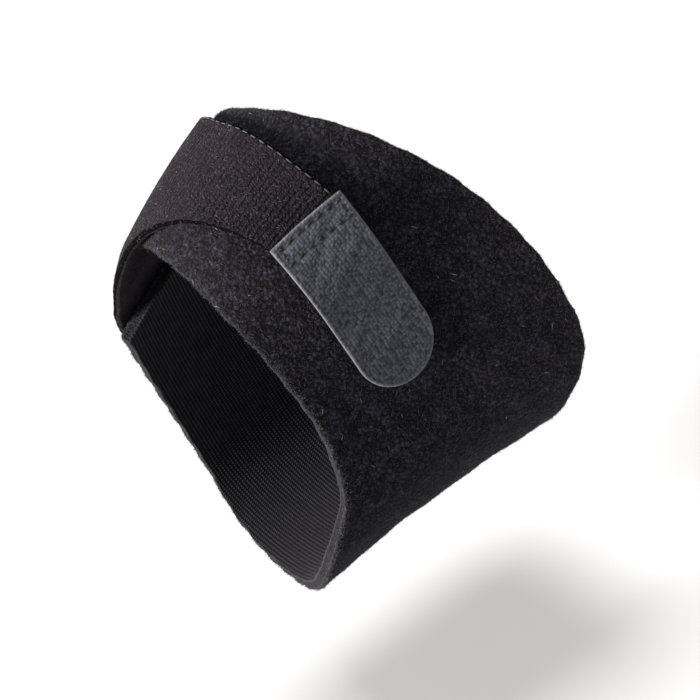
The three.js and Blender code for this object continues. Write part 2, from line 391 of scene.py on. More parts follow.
def rounded(edge_distance, radius):
    """How far a face drops at a distance from the edge, so that it rounds over to it."""
    inside = np.clip(radius - edge_distance, 0, radius)
    return radius - np.sqrt(radius ** 2 - inside ** 2)

def ripple(position, waves):
    """A sum of waves: each is a height, a length and a start, in the position's own unit."""
    return sum(height * np.sin(2 * np.pi * position / length + start) for height, length, start in waves)

def smooth_step(value, start, end):
    """0 before start and 1 after end, with a smooth change between them."""
    share = np.clip((value - start) / (end - start), 0, 1)
    return share ** 2 * (3 - 2 * share)

def strip_grid(edge_of, turn_range, width, pitches, wander, wander_reach):
    """A strip's grid between its two edges, which wander a little as they were cut."""
    turns, walked = strip_lengths(edge_of, turn_range)
    x_offset, x_share = grid_shares(width, pitches[0])
    y_offset, y_share = grid_shares(walked[-1], pitches[1])
    y = (y_offset + y_share * walked[-1])[:, None]
    turn = np.interp(y, walked, turns)
    front, back = edge_of("front", turn), edge_of("back", turn)
    x = x_offset + x_share * (back - front)
    from_side = np.minimum(x, back - front - x)
    from_edge = np.minimum(from_side, np.minimum(y, walked[-1] - y))
    inwards = np.where(x_share < 0.5, 1, -1)
    wandered = ripple(y, wander) * inwards * (1 - smooth_step(from_side, 0, wander_reach))
    along = front + x + wandered
    return SheetGrid(x, y + 0 * x, x / (back - front), along, turn + 0 * x, from_side, from_edge)

# %% Closed sheets from grids
EDGE_ROWS = 4
cut_sizes = {}

def cut_edge(face_out, face_in, rim, inward, bow):
    """The points of a cut edge, ring by ring, and how deep each lies. Half way it sinks in by the bow."""
    to_inside = face_out[inward] - face_out[rim]
    to_inside /= np.linalg.norm(to_inside, axis=1, keepdims=True)
    shares = [row / (EDGE_ROWS + 1) for row in range(1, EDGE_ROWS + 1)]
    rings = [face_out[rim] * (1 - share) + face_in[rim] * share
             + to_inside * (bow * math.sin(math.pi * share))
             for share in shares]
    return rings, np.repeat(shares, len(rim))

def sheet_faces(index, rim):
    """The faces of a closed sheet and the material slot of each: 0 outside, 1 at the cut edge, 2 inside."""
    count, around = index.size, np.arange(len(rim))
    rings = [rim] + [2 * count + row * len(rim) + around for row in range(EDGE_ROWS)] + [count + rim]
    a, b, c, d = index[:-1, :-1], index[1:, :-1], index[1:, 1:], index[:-1, 1:]
    outer_faces = np.stack([a, b, c, d], -1).reshape(-1, 4)
    inner_faces = count + np.stack([a, d, c, b], -1).reshape(-1, 4)
    edge_faces = np.concatenate([np.stack([low, high, np.roll(high, -1), np.roll(low, -1)], -1)
                                 for high, low in zip(rings[:-1], rings[1:])])
    slots = np.repeat([0, 1, 2], [len(outer_faces), len(edge_faces), len(inner_faces)])
    return np.concatenate([outer_faces, edge_faces, inner_faces]), slots

def store_measures(mesh, faces, measures, depth):
    """Keeps where each point lies in the flat cloth: x and y as a UV map, and the rest as attributes."""
    uv_map = mesh.uv_layers.new(name="cloth_mm")
    uv_map.data.foreach_set("uv", measures[:, :2][faces.ravel()].astype(np.float32).ravel())
    for name, values in (("edge_mm", measures[:, 2]), ("edge_depth", depth)):
        attribute = mesh.attributes.new(name, "FLOAT", "POINT")
        attribute.data.foreach_set("value", values.astype(np.float32))

def cut_size(along, middle):
    """The width, length and area in metres that a sheet was cut to, from the middle of its thickness."""
    length = np.linalg.norm(np.diff(middle[:, middle.shape[1] // 2], axis=0), axis=1).sum()
    cells = np.cross(middle[1:, 1:] - middle[:-1, :-1], middle[1:, :-1] - middle[:-1, 1:])
    area = np.linalg.norm(cells, axis=2).sum() / 2
    return np.ptp(along, axis=1).max() * MM, length * MM, area * MM ** 2

def sheet_object(name, grid, inner, outer, edge_bow, materials):
    """One closed sheet from its grid: outer face, cut edge and inner face, each with its own material."""
    index = np.arange(grid.along.size).reshape(grid.along.shape)
    rim = np.concatenate([index[0, :-1], index[:-1, -1], index[-1, :0:-1], index[:0:-1, 0]])
    inward = np.concatenate([index[1, :-1], index[:-1, -2], index[-2, :0:-1], index[:0:-1, 1]])
    face_out = lifted_point(grid.along, grid.turn, outer).reshape(-1, 3)
    face_in = lifted_point(grid.along, grid.turn, inner).reshape(-1, 3)
    rings, ring_depth = cut_edge(face_out, face_in, rim, inward, edge_bow)
    faces, slots = sheet_faces(index, rim)
    mesh = bpy.data.meshes.new(name)
    mesh.from_pydata(np.concatenate([face_out, face_in, *rings]) * MM, [], faces)
    mesh.polygons.foreach_set("material_index", slots.astype(np.int32))
    mesh.shade_smooth()
    flat = np.stack([grid.along, grid.y, grid.from_edge], -1).reshape(-1, 3)
    depth = np.concatenate([np.zeros(index.size), np.ones(index.size), ring_depth])
    store_measures(mesh, faces, np.concatenate([flat, flat] + [flat[rim]] * EDGE_ROWS), depth)
    for material in materials:
        mesh.materials.append(material)
    made = bpy.data.objects.new(name, mesh)
    bpy.context.collection.objects.link(made)
    cut_sizes[name] = cut_size(grid.along, (face_out + face_in).reshape(*index.shape, 3) / 2)
    print(name, len(faces) * 2, "triangles, cut", [round(size, 5) for size in cut_sizes[name]])
    return made

# %% How stitches draw the cloth in
SEAM_PULL = 0.28
SEAM_PULL_REACH = 0.55
SEAM_PULL_BETWEEN = 0.4

def seam_spacing(length, pitch):
    """How many stitches go along a row, and how far apart they are."""
    gaps = max(1, round(length / pitch))
    return gaps + 1, length / gaps

def seam_pull(from_row, place, spacing):
    """How far a row of stitches pulls the face in: most half way between stitches, where the needle went."""
    at_hole = (1 - np.cos(2 * np.pi * place / spacing)) / 2
    depth = SEAM_PULL * (SEAM_PULL_BETWEEN + (1 - SEAM_PULL_BETWEEN) * at_hole)
    return depth * np.exp(-(from_row / SEAM_PULL_REACH) ** 2)

# %% Where each sheet lies
def band_edge(column, turn):
    """The band's front or back edge at a turn, in millimetres along the foot."""
    return edge_at(BAND_EDGES, column, turn) * BAND_WIDTH

def strap_edge(column, turn):
    """The strap's front or back edge at a turn, in millimetres along the foot."""
    return edge_at(STRAP_EDGES, column, turn) * STRAP_WIDTH

band_top = BAND_THICKNESS + LAYER_GAP
seam_turn = TAB_START_TURN + TAB_SEAM_LAP
tab_middle = float(strap_edge("front", seam_turn) + strap_edge("back", seam_turn)) / 2
strap_end_turn = turn_after(tab_middle, TAB_START_TURN, TAB_SEAM_LAP)
band_outer_end_turn = BAND_OUTER_END_TURN - FULL_TURN
strap_start_turn = turn_after(0.0, band_outer_end_turn, -STRAP_SEAM_LAP)
tab_end_turn = turn_after(tab_middle, TAB_START_TURN, TAB_LENGTH)
tab_step_start_turn = turn_after(tab_middle, strap_end_turn, LAYER_GAP)
tab_step_end_turn = turn_after(tab_middle, tab_step_start_turn, TAB_STEP_LENGTH)
strap_turns = (strap_start_turn, strap_end_turn)

def strap_lift(turn, across_share):
    """How far the strap's front edge stands off the band, most near the top of the instep."""
    away = (turn - STRAP_LIFT_TURN) / STRAP_LIFT_REACH_TURN
    return STRAP_FRONT_LIFT * np.exp(-away ** 2) * (1 - across_share) ** 3

def band_cover(along, turn):
    """1 where the band lies under the strap and 0 away from it, seen from either of the band's ends."""
    degree = np.linalg.norm(foot_point(along, turn) - foot_point(along, turn + 1), axis=-1)
    covers = []
    for edge_turn, length_past_end in (
            (np.maximum(turn, BAND_INNER_END_TURN), (BAND_INNER_END_TURN - turn) * degree),
            (np.minimum(turn + FULL_TURN, BAND_OUTER_END_TURN), (turn - band_outer_end_turn) * degree)):
        past_front = band_edge("front", edge_turn) - along
        fades = [1 - smooth_step(past, STRAP_SETTLE_START, STRAP_SETTLE_START + STRAP_SETTLE_LENGTH)
                 for past in (past_front, length_past_end)]
        covers.append(fades[0] * fades[1])
    return np.maximum(*covers)

def strap_inner_height(along, turn, across_share):
    """The height of the strap's inner face over the foot."""
    carried = STRAP_SETTLED_SHARE + (1 - STRAP_SETTLED_SHARE) * band_cover(along, turn)
    return LAYER_GAP + BAND_THICKNESS * carried + strap_lift(turn, across_share)

def tab_inner_height(turn):
    """The height of the tab's inner face: over the strap's end, then down on the band."""
    on_strap = 1 - smooth_step(turn, tab_step_start_turn, tab_step_end_turn)
    return band_top + (STRAP_THICKNESS + LAYER_GAP + strap_lift(turn, 0)) * on_strap

print("strap from turn", round(strap_start_turn, 1), "to", round(strap_end_turn, 1), "and tab to",
      round(tab_end_turn, 1))

# %% [markdown]
# ## Finishes
# The band is a sandwich: a nylon plush whose loops are brushed for the hooks to grip, foam rubber, and a
# plain jersey on the inside. The strap is a ribbed stretch knit, and the tab is woven tape with moulded
# hooks under it. Their colours are all close to black, so what tells them apart is grain, nap and sheen.

# %% Finishes: a field of loops
def loop_field(tree, place, scale, unevenness, crown, foot, least, **options):
    """A field of small loops: how high each point stands in its loop, and a random share for each loop.

    A loop is highest as far from its middle as the crown, and falls to its least height at its foot.
    """
    cells = add_node(tree, "ShaderNodeTexVoronoi", {
        "Vector": place, "Scale": scale, "Randomness": unevenness}, **options)
    dome = add_node(tree, "ShaderNodeMapRange", {"Value": cells, "From Min": crown, "From Max": foot,
                                                 "To Min": 1.0, "To Max": least})
    return dome, add_node(tree, "ShaderNodeSeparateColor", {"Color": cells.outputs["Color"]})

# %% Finishes: the band's plush
LOOP_SIZE = 0.85
PLUSH_CLOUD_SIZE = 3.0
PLUSH_FUZZ_SIZE = 0.5

def brushed_loop_knit():
    """Nylon plush with brushed loops: near black with a blue cast, no gloss, a soft sheen at the sides."""
    material, tree, output = new_material("brushed_loop_knit")
    place = add_node(tree, "ShaderNodeTexCoord").outputs["Object"]
    clouds = add_node(tree, "ShaderNodeTexNoise", {
        "Vector": place, "Scale": per_mm(PLUSH_CLOUD_SIZE), "Detail": 4.0, "Roughness": 0.65,
        "Distortion": 0.4})
    fuzz = add_node(tree, "ShaderNodeTexNoise", {
        "Vector": place, "Scale": per_mm(PLUSH_FUZZ_SIZE), "Detail": 2.0, "Roughness": 0.7,
        "Distortion": 0.8})
    # Real loops are about 0.4 mm wide: they are drawn twice as coarse, so that they show
    dome, share = loop_field(tree, place, per_mm(LOOP_SIZE), 1.0, 0.0, 0.75, 0.0)
    paler = add_node(tree, "ShaderNodeMath", {0: share, 1: 0.5}, operation="ADD")
    raised = add_node(tree, "ShaderNodeMath", {0: dome, 1: fuzz}, operation="MULTIPLY")
    lit = add_node(tree, "ShaderNodeMath", {0: paler, 1: raised}, operation="MULTIPLY")
    patch = add_node(tree, "ShaderNodeMapRange", {"Value": clouds, "From Min": 0.40, "From Max": 0.62,
                                                  "To Min": 0.15, "To Max": 1.0})
    tone = add_node(tree, "ShaderNodeMath", {0: lit, 1: patch}, operation="MULTIPLY")
    spread = add_node(tree, "ShaderNodeMapRange", {"Value": tone, "From Min": 0.0, "From Max": 0.5})
    colour = add_node(tree, "ShaderNodeMix", {0: spread, 6: hex_colour("#0b0a0c"), 7: hex_colour("#363441")},
                      data_type="RGBA")
    height = add_node(tree, "ShaderNodeMath", {0: dome, 1: fuzz}, operation="ADD")
    bump = add_node(tree, "ShaderNodeBump", {"Height": height, "Strength": 0.8, "Distance": 0.25 * MM})
    skin = add_node(tree, "ShaderNodeBsdfPrincipled", {
        "Base Color": colour.outputs[2], "Normal": bump, "Roughness": 0.95, "Specular IOR Level": 0.1,
        "Sheen Weight": 0.10, "Sheen Roughness": 0.5, "Sheen Tint": hex_colour("#8c8a94")})
    tree.links.new(skin.outputs[0], output.inputs["Surface"])
    return material

# %% Finishes: the band's cut foam and its lining
FOAM_CELL = 0.45
WALE_PITCH = 0.8
COURSE_PITCH = 0.65
WEAR_SIZE = 2.5

def cut_foam():
    """Foam rubber between its two knit faces, where it was cut: dull black with small open cells."""
    material, tree, output = new_material("cut_foam_rubber")
    place = add_node(tree, "ShaderNodeTexCoord").outputs["Object"]
    depth = add_node(tree, "ShaderNodeAttribute", attribute_name="edge_depth").outputs["Fac"]
    # Real cells are about 0.2 mm wide: they are drawn twice as coarse, so that they show
    cells = add_node(tree, "ShaderNodeTexVoronoi", {"Vector": place, "Scale": per_mm(FOAM_CELL)})
    core = add_node(tree, "ShaderNodeMix", {0: cells, 6: hex_colour("#232326"), 7: hex_colour("#050505")},
                    data_type="RGBA")
    plush = add_node(tree, "ShaderNodeMapRange", {"Value": depth, "From Min": 0.06, "From Max": 0.22,
                                                  "To Min": 1.0, "To Max": 0.0})
    lining = add_node(tree, "ShaderNodeMapRange", {"Value": depth, "From Min": 0.88, "From Max": 0.96})
    knit = add_node(tree, "ShaderNodeMath", {0: plush, 1: lining}, operation="ADD")
    colour = add_node(tree, "ShaderNodeMix", {0: knit, 6: core.outputs[2], 7: hex_colour("#2e2c32")},
                      data_type="RGBA")
    bump = add_node(tree, "ShaderNodeBump", {"Height": cells, "Strength": 1.0, "Distance": -0.25 * MM})
    skin = add_node(tree, "ShaderNodeBsdfPrincipled", {
        "Base Color": colour.outputs[2], "Normal": bump, "Roughness": 0.9, "Specular IOR Level": 0.15})
    tree.links.new(skin.outputs[0], output.inputs["Surface"])
    return material

def nylon_jersey():
    """Plain jersey that faces the foot: fine columns of stitches, worn so matt that it is dark all round."""
    material, tree, output = new_material("nylon_jersey")
    uv = add_node(tree, "ShaderNodeUVMap", uv_map="cloth_mm")
    place = add_node(tree, "ShaderNodeTexCoord").outputs["Object"]
    # Real wales are about 0.5 mm apart: they and their courses are drawn coarser, so that they show
    wales = add_node(tree, "ShaderNodeTexWave", {
        "Vector": uv, "Scale": waves_per_mm(WALE_PITCH), "Distortion": 0.8}, bands_direction="X")
    courses = add_node(tree, "ShaderNodeTexWave", {
        "Vector": uv, "Scale": waves_per_mm(COURSE_PITCH), "Distortion": 0.8}, bands_direction="Y")
    wear = add_node(tree, "ShaderNodeTexNoise", {"Vector": place, "Scale": per_mm(WEAR_SIZE), "Detail": 4.0,
                                                 "Roughness": 0.7})
    knit = add_node(tree, "ShaderNodeMath", {0: wales.outputs["Fac"], 1: courses.outputs["Fac"]},
                    operation="MULTIPLY")
    stitches = add_node(tree, "ShaderNodeMath", {0: knit, 1: wear}, operation="MULTIPLY")
    colour = add_node(tree, "ShaderNodeMix", {
        0: stitches, 6: hex_colour("#0c0c0e"), 7: hex_colour("#4c4b53")}, data_type="RGBA")
    bump = add_node(tree, "ShaderNodeBump", {"Height": stitches, "Strength": 0.8, "Distance": 0.25 * MM})
    skin = add_node(tree, "ShaderNodeBsdfPrincipled", {
        "Base Color": colour.outputs[2], "Normal": bump, "Roughness": 0.95, "Specular IOR Level": 0.05,
        "Sheen Weight": 0.02, "Sheen Roughness": 0.6})
    tree.links.new(skin.outputs[0], output.inputs["Surface"])
    return material

# %% Finishes: the strap's knit, and painted shade at its cut edge
RIB_PITCH = 1.07
LOOPS_PER_RIB = 2
KNIT_LOOP_WIDTH = 0.5
KNIT_FUZZ_SIZE = 1.2
KNIT_CLOUD_SIZE = 5.0
EDGE_SHADE_GRAIN_SIZE = 0.6

def ribbed_stretch_knit():
    """Stretch knit with ribs across: a warm dark grey, its ribs broken into small loops that catch light."""
    material, tree, output = new_material("ribbed_stretch_knit")
    place = add_node(tree, "ShaderNodeTexCoord").outputs["Object"]
    uv = add_node(tree, "ShaderNodeUVMap", uv_map="cloth_mm")
    edge = add_node(tree, "ShaderNodeAttribute", attribute_name="edge_mm").outputs["Fac"]
    in_ribs = add_node(tree, "ShaderNodeMapping", {
        "Vector": uv, "Scale": (1 / KNIT_LOOP_WIDTH, LOOPS_PER_RIB / RIB_PITCH, 1.0)})
    dome, share = loop_field(tree, in_ribs, 1.0, 0.7, 0.1, 0.7, 0.3, voronoi_dimensions="2D")
    fuzz = add_node(tree, "ShaderNodeTexNoise", {"Vector": place, "Scale": per_mm(KNIT_FUZZ_SIZE),
                                                 "Detail": 4.0, "Roughness": 0.8})
    clouds = add_node(tree, "ShaderNodeTexNoise", {"Vector": place, "Scale": per_mm(KNIT_CLOUD_SIZE),
                                                   "Detail": 2.0, "Roughness": 0.6})
    cloudy = add_node(tree, "ShaderNodeMapRange", {"Value": clouds, "From Min": 0.3, "From Max": 0.7,
                                                   "To Min": 0.38, "To Max": 0.62})
    paler = add_node(tree, "ShaderNodeMath", {0: share, 1: 0.6}, operation="ADD")
    patchy = add_node(tree, "ShaderNodeMath", {0: cloudy, 1: fuzz}, operation="MULTIPLY")
    shine = add_node(tree, "ShaderNodeMath", {0: paler, 1: patchy}, operation="MULTIPLY")
    lit = add_node(tree, "ShaderNodeMath", {0: shine, 1: dome}, operation="MULTIPLY")
    spread = add_node(tree, "ShaderNodeMapRange", {"Value": lit, "From Min": 0.09, "From Max": 0.36})
    # Darker towards the cut edge, down to a quarter at it: painted shade
    rim = add_node(tree, "ShaderNodeMapRange", {"Value": edge, "From Min": 0.1, "From Max": 1.1,
                                                "To Min": 0.25, "To Max": 1.0})
    edge_shaded_tone = add_node(tree, "ShaderNodeMath", {0: spread, 1: rim}, operation="MULTIPLY")
    colour = add_node(tree, "ShaderNodeMix", {0: edge_shaded_tone, 6: hex_colour("#030204"), 7: hex_colour("#231b26")},
                      data_type="RGBA")
    height = add_node(tree, "ShaderNodeMath", {0: dome, 1: fuzz}, operation="ADD")
    bump = add_node(tree, "ShaderNodeBump", {"Height": height, "Strength": 0.7, "Distance": 0.2 * MM})
    skin = add_node(tree, "ShaderNodeBsdfPrincipled", {
        "Base Color": colour.outputs[2], "Normal": bump, "Roughness": 0.8, "Specular IOR Level": 0.12,
        "Sheen Weight": 0.04, "Sheen Roughness": 0.5, "Sheen Tint": hex_colour("#b5a9b0")})
    tree.links.new(skin.outputs[0], output.inputs["Surface"])
    return material

def strap_edge_painted_shade():
    """The strap's cut edge and the rim of its face: dull and near black, painted shade for the shadow under
    it.
    """
    material, tree, output = new_material("strap_edge_painted_shade")
    place = add_node(tree, "ShaderNodeTexCoord").outputs["Object"]
    ends = add_node(tree, "ShaderNodeTexNoise", {"Vector": place, "Scale": per_mm(EDGE_SHADE_GRAIN_SIZE),
                                                 "Detail": 3.0, "Roughness": 0.7})
    # Near black with only a faint grain in it: the painted shade along the strap's edge
    colour = add_node(tree, "ShaderNodeMix", {0: ends, 6: hex_colour("#020202"), 7: hex_colour("#0b090c")},
                      data_type="RGBA")
    bump = add_node(tree, "ShaderNodeBump", {"Height": ends, "Strength": 0.6, "Distance": 0.15 * MM})
    skin = add_node(tree, "ShaderNodeBsdfPrincipled", {
        "Base Color": colour.outputs[2], "Normal": bump, "Roughness": 1.0, "Specular IOR Level": 0.02})
    tree.links.new(skin.outputs[0], output.inputs["Surface"])
    return material

# %% Finishes: the tab's tape and its hooks
WEAVE_ACROSS = 0.8
WEAVE_ALONG = 0.55
TAPE_FUZZ_SIZE = 1.3
HOOK_PITCH = 0.6

def hook_tape():
    """Back of woven nylon hook tape: slate grey and matt, with a fine weave and a paler heat-cut edge."""
    material, tree, output = new_material("woven_hook_tape")
    place = add_node(tree, "ShaderNodeTexCoord").outputs["Object"]
    uv = add_node(tree, "ShaderNodeUVMap", uv_map="cloth_mm")
    edge = add_node(tree, "ShaderNodeAttribute", attribute_name="edge_mm").outputs["Fac"]
    # Real tape has a thread about every 0.3 mm: the weave is drawn twice as coarse, so that it shows
    in_weave = add_node(tree, "ShaderNodeMapping", {"Vector": uv,
                                                    "Scale": (1 / WEAVE_ACROSS, 1 / WEAVE_ALONG, 1.0)})
    dome, share = loop_field(tree, in_weave, 1.0, 0.5, 0.1, 0.7, 0.0, voronoi_dimensions="2D")
    fuzz = add_node(tree, "ShaderNodeTexNoise", {"Vector": place, "Scale": per_mm(TAPE_FUZZ_SIZE),
                                                 "Detail": 3.0, "Roughness": 0.7})
    threads = add_node(tree, "ShaderNodeMath", {0: share, 1: dome}, operation="MULTIPLY")
    lit = add_node(tree, "ShaderNodeMath", {0: threads, 1: fuzz}, operation="ADD")
    spread = add_node(tree, "ShaderNodeMapRange", {"Value": lit, "From Min": 0.35, "From Max": 1.1})
    body = add_node(tree, "ShaderNodeMix", {0: spread, 6: hex_colour("#1a1c21"), 7: hex_colour("#474a53")},
                    data_type="RGBA")
    rim = add_node(tree, "ShaderNodeMapRange", {"Value": edge, "From Min": 0.15, "From Max": 0.7,
                                                "To Min": 1.1, "To Max": 0.0})
    melted = add_node(tree, "ShaderNodeMath", {0: rim, 1: fuzz}, operation="MULTIPLY")
    colour = add_node(tree, "ShaderNodeMix", {0: melted, 6: body.outputs[2], 7: hex_colour("#6a6c72")},
                      data_type="RGBA")
    height = add_node(tree, "ShaderNodeMath", {0: dome, 1: fuzz}, operation="ADD")
    bump = add_node(tree, "ShaderNodeBump", {"Height": height, "Strength": 0.5, "Distance": 0.15 * MM})
    skin = add_node(tree, "ShaderNodeBsdfPrincipled", {
        "Base Color": colour.outputs[2], "Normal": bump, "Roughness": 0.75, "Specular IOR Level": 0.3,
        "Sheen Weight": 0.06, "Sheen Roughness": 0.4})
    tree.links.new(skin.outputs[0], output.inputs["Surface"])
    return material

def moulded_hooks():
    """Moulded nylon hooks under the tape, close and even: painted near black, as the shade in between them.
    """
    material, tree, output = new_material("moulded_nylon_hooks")
    place = add_node(tree, "ShaderNodeTexCoord").outputs["Object"]
    depth = add_node(tree, "ShaderNodeAttribute", attribute_name="edge_depth").outputs["Fac"]
    hooks = add_node(tree, "ShaderNodeTexVoronoi", {"Vector": place, "Scale": per_mm(HOOK_PITCH),
                                                    "Randomness": 0.35})
    # Down the cut edge the tape's dark grey gives way to near black: painted shadow where the tab meets the
    # cloth
    tape_share = add_node(tree, "ShaderNodeMapRange", {"Value": depth, "From Min": 0.05, "From Max": 0.25,
                                                       "To Min": 1.0, "To Max": 0.0})
    hook_colour = add_node(tree, "ShaderNodeMix", {0: hooks, 6: hex_colour("#0e0f11"),
                                                   7: hex_colour("#030304")}, data_type="RGBA")
    colour = add_node(tree, "ShaderNodeMix", {0: tape_share, 6: hook_colour.outputs[2],
                                              7: hex_colour("#17181c")}, data_type="RGBA")
    bump = add_node(tree, "ShaderNodeBump", {"Height": hooks, "Strength": 1.0, "Distance": -0.3 * MM})
    skin = add_node(tree, "ShaderNodeBsdfPrincipled", {
        "Base Color": colour.outputs[2], "Normal": bump, "Roughness": 0.6, "Specular IOR Level": 0.12})
    tree.links.new(skin.outputs[0], output.inputs["Surface"])
    return material

# %% Finishes: fibres and threads
FIBRE_SHADE_SIZE = 1.5
TWIST_SIZE = 0.3

def loose_fibre(name, code):
    """A loose filament no wider than a hair, dark in places and paler elsewhere, which on nylon is a painted
    glint.
    """
    material, tree, output = new_material(name)
    place = add_node(tree, "ShaderNodeTexCoord").outputs["Object"]
    shade = add_node(tree, "ShaderNodeTexNoise", {"Vector": place, "Scale": per_mm(FIBRE_SHADE_SIZE),
                                                  "Detail": 1.0})
    colour = add_node(tree, "ShaderNodeMix", {0: shade, 6: hex_colour("#08080a"), 7: hex_colour(code)},
                      data_type="RGBA")
    skin = add_node(tree, "ShaderNodeBsdfPrincipled", {
        "Base Color": colour.outputs[2], "Roughness": 0.6, "Specular IOR Level": 0.3})
    tree.links.new(skin.outputs[0], output.inputs["Surface"])
    return material

def polyester_thread(name, code):
    """Spun polyester sewing thread: a little silky, with a twist too fine to see as more than grain."""
    material, tree, output = new_material(name)
    place = add_node(tree, "ShaderNodeTexCoord").outputs["Object"]
    twist = add_node(tree, "ShaderNodeTexNoise", {"Vector": place, "Scale": per_mm(TWIST_SIZE),
                                                  "Detail": 1.0})
    bump = add_node(tree, "ShaderNodeBump", {"Height": twist, "Strength": 0.5, "Distance": 0.05 * MM})
    skin = add_node(tree, "ShaderNodeBsdfPrincipled", {
        "Base Color": hex_colour(code), "Normal": bump, "Roughness": 0.6, "Specular IOR Level": 0.3,
        "Sheen Weight": 0.1})
    tree.links.new(skin.outputs[0], output.inputs["Surface"])
    return material

# %% Finishes: all of them
loop_knit = brushed_loop_knit()
foam = cut_foam()
jersey = nylon_jersey()
strap_knit = ribbed_stretch_knit()
strap_edge_shade = strap_edge_painted_shade()
tape = hook_tape()
hooks = moulded_hooks()
dark_thread = polyester_thread("black_polyester_thread", "#0a0a0d")
pale_thread = polyester_thread("grey_polyester_thread", "#443f45")
# The plush's and the knit's filaments are paler than their cloth: a painted glint. The lint is pale of
# itself.
nap_fibre = loose_fibre("brushed_nylon_filament", "#55545c")
strap_fibre = loose_fibre("stretch_knit_filament", "#857c83")
lint_fibre = loose_fibre("cotton_lint", "#b4b2b0")
print("finishes", [finish.name for finish in (loop_knit, foam, jersey, strap_knit, strap_edge_shade, tape, hooks,
                                              dark_thread, pale_thread, nap_fibre, strap_fibre, lint_fibre)])

# %% [markdown]
# ## The band
# The foam band is die-cut from a laminated sheet and wrapped once round the arch. Its edges are left raw.
# It could be a plain extruded loop, but foam under a strap and over a bone is never quite even, so slow
# waves of a few tenths of a millimetre run over its face, and its cut edge wanders as a knife's cut does.

# %% The band's foam and faces
BAND_PITCH = 0.85
BAND_ROUND_OUTER = 0.7
BAND_ROUND_INNER = 0.35
BAND_EDGE_BOW = 0.22
CUT_WANDER = ((0.12, 7.3, 0.4), (0.03, 3.1, 1.9), (0.03, 1.7, 4.0))
CUT_WANDER_REACH = 6.0
FACE_WAVES_ALONG = ((0.12, 23.0, 0.7), (0.07, 11.5, 2.1))
FACE_WAVES_ROUND = ((0.10, 31.0, 1.3), (0.06, 13.7, 0.2))
FACE_WAVES_SLANT = 0.4
FACE_WAVES_REACH = 4.0
FACE_WAVES_START_TURNS = (20, 70)
FACE_WAVES_END_TURNS = (270, 300)

def band_waves(grid):
    """Slow waves of the band's face, which die away at its edges and under the strap."""
    waves = ripple(grid.along, FACE_WAVES_ALONG)
    waves = waves + ripple(grid.y + FACE_WAVES_SLANT * grid.along, FACE_WAVES_ROUND)
    past_strap = smooth_step(grid.turn, *FACE_WAVES_START_TURNS)
    before_strap = 1 - smooth_step(grid.turn, *FACE_WAVES_END_TURNS)
    return waves * (past_strap * before_strap) * smooth_step(grid.from_edge, 0, FACE_WAVES_REACH)

def make_band():
    """The band as one closed sheet."""
    grid = strip_grid(band_edge, (BAND_INNER_END_TURN, BAND_OUTER_END_TURN), BAND_WIDTH,
                      (BAND_PITCH, BAND_PITCH), CUT_WANDER, CUT_WANDER_REACH)
    outer = BAND_THICKNESS - rounded(grid.from_edge, BAND_ROUND_OUTER) + band_waves(grid)
    return sheet_object("band_shell", grid, rounded(grid.from_edge, BAND_ROUND_INNER), outer, BAND_EDGE_BOW,
                        (loop_knit, foam, jersey))

band_shell = make_band()

# %% [markdown]
# ## Trees that make geometry
# Ribs, nap and stitches repeat along the cloth, so Geometry Nodes make them. Each tree has named inputs for
# its sizes. Helpers start a tree, end it in real meshes with a finish, and run it on a carrier and keep the
# result as a plain mesh, because the exported model knows nothing of instances or modifiers.

# %% Helpers for trees that make geometry
def new_geometry_tree(name, sockets):
    """A Geometry Nodes tree with named inputs. Returns it with its inputs and its output node."""
    tree = bpy.data.node_groups.new(name, "GeometryNodeTree")
    tree.interface.new_socket("Geometry", in_out="INPUT", socket_type="NodeSocketGeometry")
    for label, kind in sockets.items():
        tree.interface.new_socket(label, in_out="INPUT", socket_type="NodeSocket" + kind)
    tree.interface.new_socket("Geometry", in_out="OUTPUT", socket_type="NodeSocketGeometry")
    return tree, add_node(tree, "NodeGroupInput").outputs, add_node(tree, "NodeGroupOutput")

def end_tree(tree, output, geometry, finish, selection=True):
    """Ends a tree: its instances are made real, and what is selected gets the finish."""
    real = add_node(tree, "GeometryNodeRealizeInstances", {"Geometry": geometry})
    finished = add_node(tree, "GeometryNodeSetMaterial", {"Geometry": real, "Selection": selection,
                                                          "Material": finish})
    tree.links.new(finished.outputs["Geometry"], output.inputs["Geometry"])

def made_plain(name, carrier, tree, values):
    """Runs a tree on a carrier and keeps what it makes as a plain mesh in an object of its own."""
    modifier = carrier.modifiers.new(name, "NODES")
    modifier.node_group = tree
    for item in tree.interface.items_tree:
        if item.in_out == "INPUT" and item.name in values:
            modifier[item.identifier] = values[item.name]
    graph = bpy.context.evaluated_depsgraph_get()
    mesh = bpy.data.meshes.new_from_object(carrier.evaluated_get(graph), preserve_all_data_layers=True,
                                           depsgraph=graph)
    carrier.modifiers.remove(modifier)
    mesh.name = name
    mesh.shade_smooth()
    made = bpy.data.objects.new(name, mesh)
    bpy.context.collection.objects.link(made)
    print(name, sum(len(face.vertices) - 2 for face in mesh.polygons), "triangles")
    return made

# %% [markdown]
# ## The strap
# The strap is cut from ribbed stretch knit, wide where it is sewn to the band and narrow under the tab. The
# ribs run across it. A bump pattern could draw them, but they show in outline where the strap turns over
# the instep. So the sheet is made smooth, and a tree then sinks its outer face between one rib and the next,
# by more in some places than in others, and lays the knit on it up to a thin rim by the cut edge, which
# keeps a near-black painted shade. Only the small loops in each rib are left to the material.

# %% The strap, still smooth
STRAP_PITCH_ACROSS = 0.9
STRAP_STEPS_PER_RIB = 8
STRAP_ROUND = 0.85
STRAP_EDGE_BOW = -0.05
STRAP_WANDER = ((0.07, 5.2, 0.9), (0.05, 2.3, 2.6))
STRAP_WANDER_REACH = 3.0
STRAP_SEAM_ROWS = (3.0, 12.0)
STRAP_SEAM_MARGIN = 2.0
STRAP_SEAM_PITCH = 2.5

